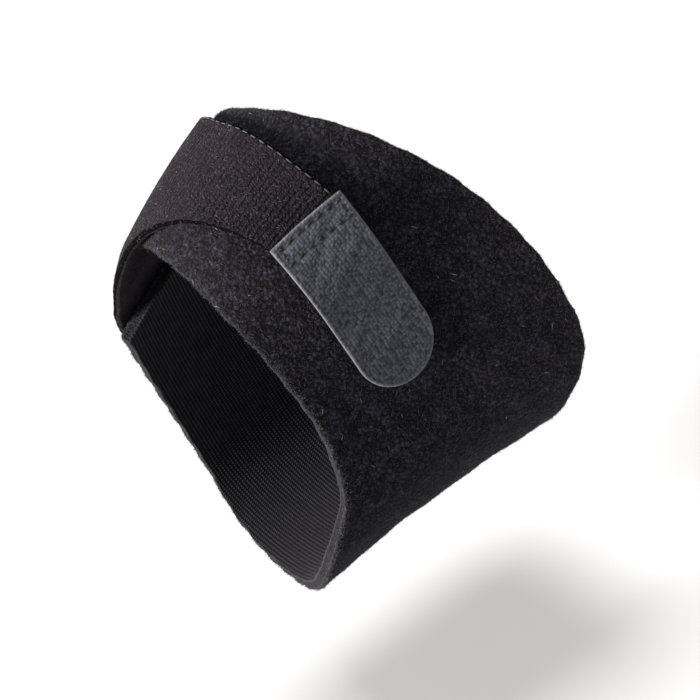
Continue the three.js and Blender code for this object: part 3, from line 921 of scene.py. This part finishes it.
def make_strap():
    """The strap as one closed sheet, still without its ribs."""
    grid = strip_grid(strap_edge, strap_turns, STRAP_WIDTH,
                      (STRAP_PITCH_ACROSS, RIB_PITCH / STRAP_STEPS_PER_RIB), STRAP_WANDER,
                      STRAP_WANDER_REACH)
    underside = strap_inner_height(grid.along, grid.turn, grid.share)
    spacing = seam_spacing(STRAP_WIDTH - 2 * STRAP_SEAM_MARGIN, STRAP_SEAM_PITCH)[1]
    pull = sum(seam_pull(grid.y - row, grid.x - STRAP_SEAM_MARGIN, spacing) for row in STRAP_SEAM_ROWS)
    pull = pull * smooth_step(grid.from_side, STRAP_SEAM_MARGIN / 2, STRAP_SEAM_MARGIN)
    drop = rounded(grid.from_edge, STRAP_ROUND)
    # The outer face and the cut edge start in the painted edge shade, and the inner face in the knit
    return sheet_object("smooth_strap", grid, underside + drop, underside + STRAP_THICKNESS - drop - pull,
                        STRAP_EDGE_BOW, (strap_edge_shade, strap_edge_shade, strap_knit))

smooth_strap = make_strap()

# %% A tree for ribs
UNEVENNESS_SIZE = 6.0
RIB_FADE = (0.2, 1.2)
OUTER_FACE_DEPTH = 0.1

def rib_tree():
    """Ribs across a sheet: its outer face sinks between them, but not at its cut edge, and gets a finish."""
    tree, inputs, output = new_geometry_tree("raised_ribs", {
        "Rib Pitch": "Float", "Rib Wander": "Float", "Least Height": "Float", "Most Height": "Float",
        "Edge Shade Width": "Float", "Finish": "Material"})
    cloth = add_node(tree, "GeometryNodeInputNamedAttribute", {"Name": "cloth_mm"}, data_type="FLOAT_VECTOR")
    edge = add_node(tree, "GeometryNodeInputNamedAttribute", {"Name": "edge_mm"}, data_type="FLOAT")
    depth = add_node(tree, "GeometryNodeInputNamedAttribute", {"Name": "edge_depth"}, data_type="FLOAT")
    length = add_node(tree, "ShaderNodeSeparateXYZ", {"Vector": cloth}).outputs["Y"]
    noise = add_node(tree, "ShaderNodeTexNoise", {"Vector": cloth, "Scale": 1 / UNEVENNESS_SIZE,
                                                  "Detail": 2.0})
    uneven = add_node(tree, "FunctionNodeSeparateColor", {"Color": noise.outputs["Color"]})
    place = add_node(tree, "ShaderNodeMath", {0: uneven, 1: inputs["Rib Wander"], 2: length},
                     operation="MULTIPLY_ADD")
    rib = add_node(tree, "ShaderNodeMath", {0: place, 1: inputs["Rib Pitch"]}, operation="DIVIDE")
    phase = add_node(tree, "ShaderNodeMath", {0: rib, 1: 2 * math.pi}, operation="MULTIPLY")
    crest = add_node(tree, "ShaderNodeMath", {0: phase}, operation="COSINE")
    # From 0 on the crest of a rib to -1 half way to the next
    sunk = add_node(tree, "ShaderNodeMath", {0: crest, 1: 0.5, 2: -0.5}, operation="MULTIPLY_ADD")
    height = add_node(tree, "ShaderNodeMapRange", {
        "Value": uneven.outputs[1], "From Min": 0.35, "From Max": 0.65, "To Min": inputs["Least Height"],
        "To Max": inputs["Most Height"]})
    inside = add_node(tree, "ShaderNodeMapRange", {"Value": edge, "From Min": RIB_FADE[0],
                                                   "From Max": RIB_FADE[1]})
    outer_face = add_node(tree, "ShaderNodeMapRange", {
        "Value": depth, "From Min": 0.0, "From Max": OUTER_FACE_DEPTH, "To Min": 1.0, "To Max": 0.0})
    moved = sunk
    for share in (height, inside, outer_face):
        moved = add_node(tree, "ShaderNodeMath", {0: moved, 1: share}, operation="MULTIPLY")
    outward = add_node(tree, "GeometryNodeInputNormal")
    offset = add_node(tree, "ShaderNodeVectorMath", {0: outward, "Scale": moved}, operation="SCALE")
    ribbed = add_node(tree, "GeometryNodeSetPosition", {"Geometry": inputs["Geometry"], "Offset": offset})
    # Within this width of the edge the outer face keeps the sheet's painted edge shade
    past_edge_shade = add_node(tree, "ShaderNodeMath", {0: edge, 1: inputs["Edge Shade Width"]}, operation="GREATER_THAN")
    knit_face = add_node(tree, "ShaderNodeMath", {0: past_edge_shade, 1: outer_face}, operation="MULTIPLY")
    end_tree(tree, output, ribbed, inputs["Finish"], knit_face)
    return tree

# %% The strap's ribs
RIB_WANDER = 0.9
LEAST_RIB_HEIGHT = 0.07
MOST_RIB_HEIGHT = 0.17
# How wide a rim of the strap's face keeps the painted edge shade, in millimetres
STRAP_EDGE_SHADE_WIDTH = 0.6

strap_web = made_plain("strap_web", smooth_strap, rib_tree(), {
    "Rib Pitch": RIB_PITCH, "Rib Wander": RIB_WANDER, "Least Height": LEAST_RIB_HEIGHT * MM,
    "Most Height": MOST_RIB_HEIGHT * MM, "Edge Shade Width": STRAP_EDGE_SHADE_WIDTH, "Finish": strap_knit})
bpy.data.objects.remove(smooth_strap)
cut_sizes["strap_web"] = cut_sizes.pop("smooth_strap")

# %% [markdown]
# ## The tab
# The tab is a tongue of hook tape, sewn over the strap's end and cut to a half round. It steps down from
# the strap to the band, so it bends a little in its middle. Its edge was cut with a hot knife, which leaves
# a thin, slightly raised bead.

# %% The tab's tape
TAB_PITCH = 0.24
TAB_ROUND_OUTER = 0.3
TAB_ROUND_INNER = 0.2
TAB_EDGE_BOW = 0.12
TAB_BEAD_HEIGHT = 0.045
TAB_BEAD_PLACE = 0.55
TAB_BEAD_WIDTH = 0.35
TAB_SEAM_ROWS = (1.3, 4.6)
TAB_SEAM_MARGIN = 1.6
TAB_SEAM_PITCH = 2.35
TAB_WAVES = ((0.07, 9.3, 0.6), (0.05, 4.1, 2.2))
TAB_WAVES_SLANT = 0.5
TAB_WAVES_REACH = 3.0

tab_turns, tab_walked = length_table(lambda turn: tab_middle + 0 * turn, TAB_START_TURN, tab_end_turn)

def tab_slant(x):
    """How far past the tab's start its slanted end begins, at x to the side of its middle."""
    return x / TAB_WIDTH * TAB_START_SLANT_TURN * tab_walked[-1] / (tab_end_turn - TAB_START_TURN)

def tab_grid():
    """The tab's grid: a slanted end, two straight sides and a half-round end."""
    radius = TAB_WIDTH / 2
    x_offset, x_share = grid_shares(TAB_WIDTH, TAB_PITCH)
    y_offset, y_share = grid_shares(TAB_LENGTH, TAB_PITCH)
    x = (x_offset + x_share * TAB_WIDTH - radius)[None, :]
    length = TAB_LENGTH - radius + np.sqrt(np.maximum(radius ** 2 - x ** 2, 0))
    y = tab_slant(x) + y_offset[:, None] + y_share[:, None] * (length - tab_slant(x))
    x = x + 0 * y
    past_straight = np.maximum(y - (TAB_LENGTH - radius), 0)
    from_edge = np.minimum(radius - np.hypot(x, past_straight), y - tab_slant(x))
    # One corner of the slanted end lies a little before the place where the walk starts
    degrees_per_mm = (tab_turns[1] - tab_turns[0]) / (tab_walked[1] - tab_walked[0])
    turn = np.where(y < 0, TAB_START_TURN + y * degrees_per_mm, np.interp(y, tab_walked, tab_turns))
    return SheetGrid(x + radius, y, x / TAB_WIDTH + 0.5, tab_middle + x, turn, radius - np.abs(x),
                     np.maximum(from_edge, 0))

def make_tab():
    """The tab as one closed sheet with a half-round end."""
    grid = tab_grid()
    x = grid.x - TAB_WIDTH / 2
    past_start = grid.y - tab_slant(x)
    inner = tab_inner_height(grid.turn)
    bead = TAB_BEAD_HEIGHT * np.exp(-((grid.from_edge - TAB_BEAD_PLACE) / TAB_BEAD_WIDTH) ** 2)
    spacing = seam_spacing(TAB_WIDTH - 2 * TAB_SEAM_MARGIN, TAB_SEAM_PITCH)[1]
    pull = sum(seam_pull(past_start - row, grid.x - TAB_SEAM_MARGIN, spacing) for row in TAB_SEAM_ROWS)
    pull = pull * smooth_step(grid.from_side, TAB_SEAM_MARGIN / 2, TAB_SEAM_MARGIN)
    waves = ripple(grid.y + TAB_WAVES_SLANT * x, TAB_WAVES) * smooth_step(grid.from_edge, 0, TAB_WAVES_REACH)
    outer = inner + TAB_THICKNESS - rounded(grid.from_edge, TAB_ROUND_OUTER) + bead + waves - pull
    return sheet_object("tab_tape", grid, inner + rounded(grid.from_edge, TAB_ROUND_INNER), outer,
                        TAB_EDGE_BOW, (tape, hooks, hooks))

tab_tape = make_tab()

# %% [markdown]
# ## The nap
# The plush's loops are brushed up into a short nap. Loop by loop it would be far too much mesh, and a bump
# alone leaves the edges too clean. So Geometry Nodes scatter thin fibres that lean over the outer face, each
# a long pyramid of four faces. They stand closest along the cut edge, where the knife frays the knit.

# %% A tree for nap
NAP_DEPTH = 0.25
LEAST_FIBRE_SIZE = 0.5
MOST_FIBRE_SIZE = 1.2

def nap_tree():
    """Fibres scattered over a sheet's outer face: each is a thin pyramid that leans over at random."""
    tree, inputs, output = new_geometry_tree("scattered_nap", {
        "Fibres": "Float", "Edge Gain": "Float", "Edge Reach": "Float", "Fibre Length": "Float",
        "Fibre Width": "Float", "Least Lean": "Float", "Most Lean": "Float", "Seed": "Int",
        "Finish": "Material"})
    edge = add_node(tree, "GeometryNodeInputNamedAttribute", {"Name": "edge_mm"}, data_type="FLOAT")
    depth = add_node(tree, "GeometryNodeInputNamedAttribute", {"Name": "edge_depth"}, data_type="FLOAT")
    face = add_node(tree, "ShaderNodeMapRange", {"Value": depth, "From Min": 0.0, "From Max": NAP_DEPTH,
                                                 "To Min": 1.0, "To Max": 0.0})
    gain = add_node(tree, "ShaderNodeMapRange", {
        "Value": edge, "From Min": 0.0, "From Max": inputs["Edge Reach"], "To Min": inputs["Edge Gain"],
        "To Max": 1.0})
    share = add_node(tree, "ShaderNodeMath", {0: gain, 1: face}, operation="MULTIPLY")
    density = add_node(tree, "ShaderNodeMath", {0: share, 1: inputs["Fibres"]}, operation="MULTIPLY")
    spots = add_node(tree, "GeometryNodeDistributePointsOnFaces", {
        "Mesh": inputs["Geometry"], "Density": density, "Seed": inputs["Seed"]})
    radius = add_node(tree, "ShaderNodeMath", {0: inputs["Fibre Width"], 1: 0.5}, operation="MULTIPLY")
    fibre = add_node(tree, "GeometryNodeMeshCone", {
        "Vertices": 3, "Radius Top": 0.0, "Radius Bottom": radius, "Depth": inputs["Fibre Length"]})
    least = add_node(tree, "ShaderNodeCombineXYZ", {"X": inputs["Least Lean"]})
    most = add_node(tree, "ShaderNodeCombineXYZ", {"X": inputs["Most Lean"], "Z": 2 * math.pi})
    lean = add_node(tree, "FunctionNodeRandomValue", {"Min": least, "Max": most, "Seed": 1},
                    data_type="FLOAT_VECTOR")
    turned = add_node(tree, "FunctionNodeRotateRotation", {"Rotation": spots.outputs["Rotation"],
                                                           "Rotate By": lean}, rotation_space="LOCAL")
    # Sockets 2 and 3 are the least and the most of a plain random number
    size = add_node(tree, "FunctionNodeRandomValue", {2: LEAST_FIBRE_SIZE, 3: MOST_FIBRE_SIZE, "Seed": 2},
                    data_type="FLOAT")
    fibres = add_node(tree, "GeometryNodeInstanceOnPoints", {
        "Points": spots, "Instance": fibre, "Rotation": turned, "Scale": size.outputs[1]})
    end_tree(tree, output, fibres, inputs["Finish"])
    return tree

# %% The nap of the band and the strap, and a little lint on the band
NAP_PER_MM2 = 2.5
NAP_EDGE_GAIN = 5.0
NAP_EDGE_REACH = 1.5
NAP_LENGTH = 0.85
NAP_WIDTH = 0.09
NAP_LEAST_LEAN = 0.9
NAP_MOST_LEAN = 1.5
LINT_PER_MM2 = 0.012
LINT_LENGTH = 1.3
LINT_WIDTH = 0.14
LINT_LEAST_LEAN = 1.35
STRAP_FIBRES_PER_MM2 = 1.2
STRAP_FIBRE_LENGTH = 0.55

nap = nap_tree()
nap_values = {"Fibres": NAP_PER_MM2 / MM ** 2, "Edge Gain": NAP_EDGE_GAIN, "Edge Reach": NAP_EDGE_REACH,
              "Fibre Length": NAP_LENGTH * MM, "Fibre Width": NAP_WIDTH * MM, "Least Lean": NAP_LEAST_LEAN,
              "Most Lean": NAP_MOST_LEAN, "Seed": 7, "Finish": nap_fibre}
band_nap = made_plain("band_nap", band_shell, nap, nap_values)
band_lint = made_plain("band_lint", band_shell, nap, nap_values | {
    "Fibres": LINT_PER_MM2 / MM ** 2, "Edge Gain": 1.0, "Fibre Length": LINT_LENGTH * MM,
    "Fibre Width": LINT_WIDTH * MM, "Least Lean": LINT_LEAST_LEAN, "Seed": 23, "Finish": lint_fibre})
strap_nap = made_plain("strap_nap", strap_web, nap, nap_values | {
    "Fibres": STRAP_FIBRES_PER_MM2 / MM ** 2, "Edge Gain": 1.0, "Fibre Length": STRAP_FIBRE_LENGTH * MM,
    "Seed": 11, "Finish": strap_fibre})

# %% [markdown]
# ## The seams
# A box of stitches holds the tab on the strap, two rows hold the strap on the band's outer end, and a finer
# row runs along the strap's back edge. Each stitch is a short thread that comes up through the cloth
# and goes down again. Each row is a line on the cloth, and one tree sets the stitches along them all.

# %% A tree for stitches
BOW_POINTS = 5
THREAD_SIDES = 6

def stitch_tree():
    """Stitches spaced evenly along lines: each is a bow of thread whose ends dip into the cloth."""
    tree, inputs, output = new_geometry_tree("stitch_rows", {
        "Stitches": "Int", "Stitch Length": "Float", "Thread Width": "Float", "Rise": "Float",
        "Dip": "Float", "Slant": "Float", "Finish": "Material"})
    line = add_node(tree, "GeometryNodeMeshToCurve", {"Mesh": inputs["Geometry"]})
    spots = add_node(tree, "GeometryNodeResampleCurve", {"Curve": line, "Count": inputs["Stitches"]},
                     mode="COUNT")
    sunk = add_node(tree, "ShaderNodeMath", {0: inputs["Dip"], 1: -1.0}, operation="MULTIPLY")
    # The middle point of a bow pulls its crown up by only half its own height
    crown = add_node(tree, "ShaderNodeMath", {0: inputs["Rise"], 1: 2.0, 2: inputs["Dip"]},
                     operation="MULTIPLY_ADD")
    back = add_node(tree, "ShaderNodeMath", {0: inputs["Stitch Length"], 1: -0.5}, operation="MULTIPLY")
    ahead = add_node(tree, "ShaderNodeMath", {0: inputs["Stitch Length"], 1: 0.5}, operation="MULTIPLY")
    start = add_node(tree, "ShaderNodeCombineXYZ", {"X": back, "Z": sunk})
    middle = add_node(tree, "ShaderNodeCombineXYZ", {"Z": crown})
    end = add_node(tree, "ShaderNodeCombineXYZ", {"X": ahead, "Z": sunk})
    bow = add_node(tree, "GeometryNodeCurveQuadraticBezier", {"Resolution": BOW_POINTS, "Start": start,
                                                              "Middle": middle, "End": end})
    radius = add_node(tree, "ShaderNodeMath", {0: inputs["Thread Width"], 1: 0.5}, operation="MULTIPLY")
    round_thread = add_node(tree, "GeometryNodeCurvePrimitiveCircle", {"Resolution": THREAD_SIDES,
                                                                       "Radius": radius})
    thread = add_node(tree, "GeometryNodeCurveToMesh", {"Curve": bow, "Profile Curve": round_thread,
                                                        "Fill Caps": True})
    up = add_node(tree, "GeometryNodeInputNamedAttribute", {"Name": "face_up"}, data_type="FLOAT_VECTOR")
    upright = add_node(tree, "FunctionNodeAlignRotationToVector", {"Vector": up}, axis="Z")
    row_way = add_node(tree, "GeometryNodeInputTangent")
    aimed = add_node(tree, "FunctionNodeAlignRotationToVector", {"Rotation": upright, "Vector": row_way},
                     axis="X", pivot_axis="Z")
    other_way = add_node(tree, "ShaderNodeMath", {0: inputs["Slant"], 1: -1.0}, operation="MULTIPLY")
    least = add_node(tree, "ShaderNodeCombineXYZ", {"Z": other_way})
    most = add_node(tree, "ShaderNodeCombineXYZ", {"Z": inputs["Slant"]})
    slant = add_node(tree, "FunctionNodeRandomValue", {"Min": least, "Max": most, "Seed": 3},
                     data_type="FLOAT_VECTOR")
    turned = add_node(tree, "FunctionNodeRotateRotation", {"Rotation": aimed, "Rotate By": slant},
                      rotation_space="LOCAL")
    stitches = add_node(tree, "GeometryNodeInstanceOnPoints", {"Points": spots, "Instance": thread,
                                                               "Rotation": turned})
    end_tree(tree, output, stitches, inputs["Finish"])
    return tree

def line_mesh(lines):
    """A carrier for stitches: lines of (along, turn, height), and the way out of the cloth at each point."""
    points, ups, edges = [], [], []
    for along, turn, height in lines:
        first = sum(map(len, points))
        points.append(lifted_point(along, turn, height) * MM)
        ups.append(lifted_point(along, turn, 1.0) - foot_point(along, turn))
        edges += [(first + step, first + step + 1) for step in range(len(along) - 1)]
    mesh = bpy.data.meshes.new("stitch_lines")
    mesh.from_pydata(np.concatenate(points), edges, [])
    face_up = mesh.attributes.new("face_up", "FLOAT_VECTOR", "POINT")
    face_up.data.foreach_set("vector", np.concatenate(ups).astype(np.float32).ravel())
    carrier = bpy.data.objects.new("stitch_lines", mesh)
    bpy.context.collection.objects.link(carrier)
    return carrier

# %% Lines for stitches
EDGE_SEAM_INSET = 0.5
EDGE_SEAM_START_TURN = 2.0
EDGE_SEAM_END_TURN = 0.6
LINE_POINTS = 60

def tab_line(x, row):
    """A line on the tab's face, at x to the side of its middle and a row's distance below its start."""
    turn = np.interp(row + tab_slant(x), tab_walked, tab_turns)
    return tab_middle + x, turn, tab_inner_height(turn) + TAB_THICKNESS - SEAM_PULL / 2

def strap_seam_lines():
    """Two rows across the strap where it is sewn on the band's outer end."""
    turns, walked = strip_lengths(strap_edge, strap_turns)
    for row in STRAP_SEAM_ROWS:
        turn = np.full(LINE_POINTS, np.interp(row, walked, turns))
        across = np.linspace(STRAP_SEAM_MARGIN, STRAP_WIDTH - STRAP_SEAM_MARGIN, LINE_POINTS)
        along = strap_edge("front", turn) + across
        height = strap_inner_height(along, turn, across / STRAP_WIDTH)
        yield along, turn, height + STRAP_THICKNESS - SEAM_PULL / 2

def edge_seam_line():
    """One row at the strap's back edge, from near its sewn end to the tab."""
    turn = np.linspace(strap_start_turn + EDGE_SEAM_START_TURN, TAB_START_TURN - EDGE_SEAM_END_TURN,
                       3 * LINE_POINTS)
    along = strap_edge("back", turn) - EDGE_SEAM_INSET
    face = strap_inner_height(along, turn, 1.0) + STRAP_THICKNESS
    return along, turn, face - rounded(EDGE_SEAM_INSET, STRAP_ROUND)

# %% The tab's, the strap's and the edge's stitches
STITCH_LENGTH_SHARE = 0.72
TAB_STITCH_LENGTH = 1.35
TAB_SIDE_STITCH_LENGTH = 0.8
TAB_THREAD_WIDTH = 0.6
TAB_STITCH_SLANT = 0.35
SEAM_THREAD_WIDTH = 0.45
SEAM_STITCH_RISE = 0.05
SEAM_STITCH_DIP = 0.26
SEAM_STITCH_SLANT = 0.12
EDGE_SEAM_PITCH = 2.2
EDGE_THREAD_WIDTH = 0.22
EDGE_STITCH_RISE = 0.07
EDGE_STITCH_DIP = 0.16
EDGE_STITCH_SLANT = 0.06

stitch = stitch_tree()

def sew(name, lines, length, pitch, values):
    """Sets stitches along lines that are all about this long."""
    carrier = line_mesh(lines)
    count, spacing = seam_spacing(length, pitch)
    sizes = {"Stitches": count, "Stitch Length": STITCH_LENGTH_SHARE * spacing * MM}
    made = made_plain(name, carrier, stitch, sizes | values)
    bpy.data.objects.remove(carrier)
    print(name, count, "stitches a row,", round(spacing, 2), "mm apart")
    return made

seam_values = {"Thread Width": SEAM_THREAD_WIDTH * MM, "Rise": SEAM_STITCH_RISE * MM,
               "Dip": SEAM_STITCH_DIP * MM, "Slant": SEAM_STITCH_SLANT, "Finish": pale_thread}
tab_values = seam_values | {"Stitch Length": TAB_STITCH_LENGTH * MM, "Thread Width": TAB_THREAD_WIDTH * MM,
                            "Slant": TAB_STITCH_SLANT, "Finish": dark_thread}
edge_values = {"Thread Width": EDGE_THREAD_WIDTH * MM, "Rise": EDGE_STITCH_RISE * MM,
               "Dip": EDGE_STITCH_DIP * MM, "Slant": EDGE_STITCH_SLANT, "Finish": pale_thread}
half_row = TAB_WIDTH / 2 - TAB_SEAM_MARGIN
row_x = np.linspace(-half_row, half_row, LINE_POINTS)
side_y = np.linspace(TAB_SEAM_ROWS[0] + TAB_SEAM_PITCH / 2, TAB_SEAM_ROWS[1] - TAB_SEAM_PITCH / 2,
                     LINE_POINTS)
strap_length = strip_lengths(strap_edge, strap_turns)[1][-1]
tab_row_stitches = sew("tab_row_stitches", [tab_line(row_x, row) for row in TAB_SEAM_ROWS], 2 * half_row,
                       TAB_SEAM_PITCH, tab_values)
tab_side_stitches = sew("tab_side_stitches", [tab_line(side * half_row + 0 * side_y, side_y)
                                              for side in (-1, 1)], np.ptp(side_y), TAB_SEAM_PITCH,
                        tab_values | {"Stitch Length": TAB_SIDE_STITCH_LENGTH * MM})
seam_stitches = sew("seam_stitches", list(strap_seam_lines()), STRAP_WIDTH - 2 * STRAP_SEAM_MARGIN,
                    STRAP_SEAM_PITCH, seam_values)
strap_edge_stitches = sew("strap_edge_stitches", [edge_seam_line()], strap_length - TAB_SEAM_LAP,
                          EDGE_SEAM_PITCH, edge_values)

# %% [markdown]
# ## Where each piece rides
# Every piece rides on the body named root. Each is listed beside a slot of the record, but the slot is not
# used. The model's own solids for the band, the strap and the tab are hidden, as the cloths take their
# place.
# The sizes that the three cloths were cut to are only read back.

# %% Rides, hidden frame solids and cut sizes read back
for piece, slot in ((band_shell, "band_cloth"), (band_nap, "band_cloth"), (band_lint, "band_cloth"),
                    (strap_web, "strap_knit"), (strap_nap, "strap_knit"), (seam_stitches, "strap_knit"),
                    (strap_edge_stitches, "strap_knit"), (tab_tape, "tab_hook"),
                    (tab_row_stitches, "tab_hook"), (tab_side_stitches, "tab_hook")):
    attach(piece, "root")
for piece, node in ((band_shell, "wrap_band"), (strap_web, "instep_strap"), (tab_tape, "hook_tab")):
    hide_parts(node)

def declare_sheet(piece):
    """Reads back the width, length and area that a cloth was cut to, and does nothing more with them."""
    width, length, area = (float(size) for size in cut_sizes[piece.name])

declare_sheet(band_shell)
declare_sheet(strap_web)
declare_sheet(tab_tape)
